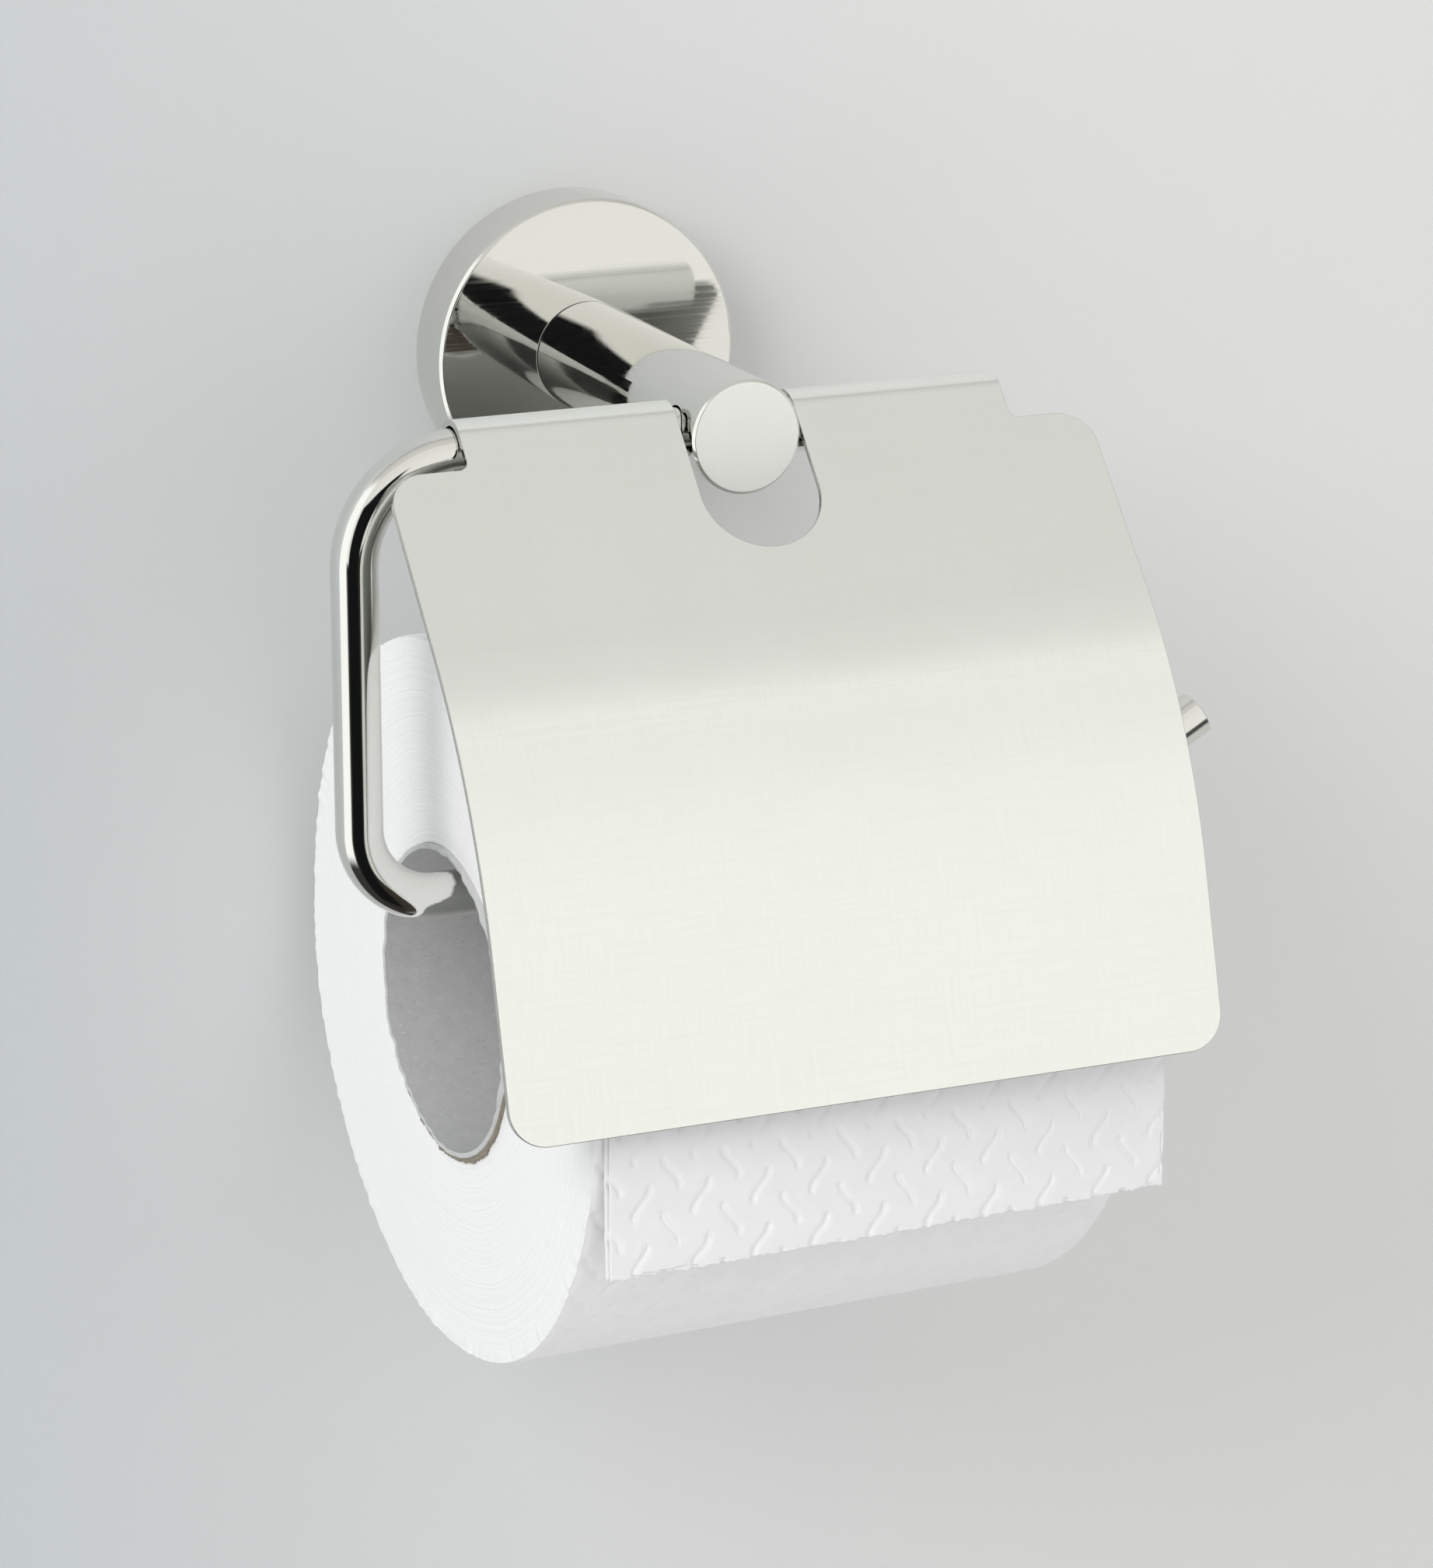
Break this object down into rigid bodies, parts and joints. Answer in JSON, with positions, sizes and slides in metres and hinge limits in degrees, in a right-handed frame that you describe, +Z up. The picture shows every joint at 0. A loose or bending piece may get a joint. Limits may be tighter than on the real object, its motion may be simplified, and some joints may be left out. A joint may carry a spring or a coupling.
{
  "type": "toilet paper holder",
  "caption": "Wall-mounted toilet paper holder: a round rosette and post carry a bent rod, a hinged sheet-metal lid turns on the rod, and a roll of paper hangs on its lower run.",
  "frame": {"origin": "centre of the wall plate's back face, on the wall", "axes": "+Z up, +Y into the wall, so the holder stands out along -Y; +X is to the right for someone who faces the wall, where the rod's open tip points"},
  "size_m": [0.1541, 0.1595, 0.1766],
  "materials": {
    "polished_steel": "mirror polished",
    "satin_steel": "polished sheet with a soft sheen",
    "plain_steel": "turned, unpolished",
    "zinc_plated_steel": "zinc plated",
    "dark_steel": "blackened",
    "grey_nylon": "moulded",
    "white_paper": "soft embossed tissue",
    "grey_cardboard": "wound recycled board"
  },
  "bodies": {
    "root": {"wall_plate": "plain_steel", "wall_screw_left": "zinc_plated_steel", "wall_screw_right": "zinc_plated_steel", "wall_plug_left": "grey_nylon", "wall_plug_right": "grey_nylon", "rosette": "polished_steel", "rosette_grub_screw": "dark_steel", "post_screw": "zinc_plated_steel", "post_washer": "zinc_plated_steel", "post": "polished_steel", "rod": "polished_steel", "rod_grub_screw": "dark_steel"},
    "lid": {"lid": "satin_steel"},
    "roll": {"cardboard_core": "grey_cardboard", "paper_roll": "white_paper"},
    "tail": {"paper_tail": "white_paper"}
  },
  "joints": [
    {"name": "lid_hinge", "type": "hinge", "parent": "root", "child": "lid", "pos_m": [0, -0.07, 0], "axis": [-1, 0, 0], "range_deg": [0, 180]},
    {"name": "roll_spin", "type": "hinge", "parent": "root", "child": "roll", "pos_m": [0.0005, -0.0639, -0.0909], "axis": [0.9994, 0.0349, 0], "continuous": true},
    {"name": "tail_swing", "type": "hinge", "parent": "root", "child": "tail", "pos_m": [0.00259, -0.12366, -0.0955], "axis": [-0.9994, -0.0349, 0], "range_deg": [0, 70]}
  ]
}
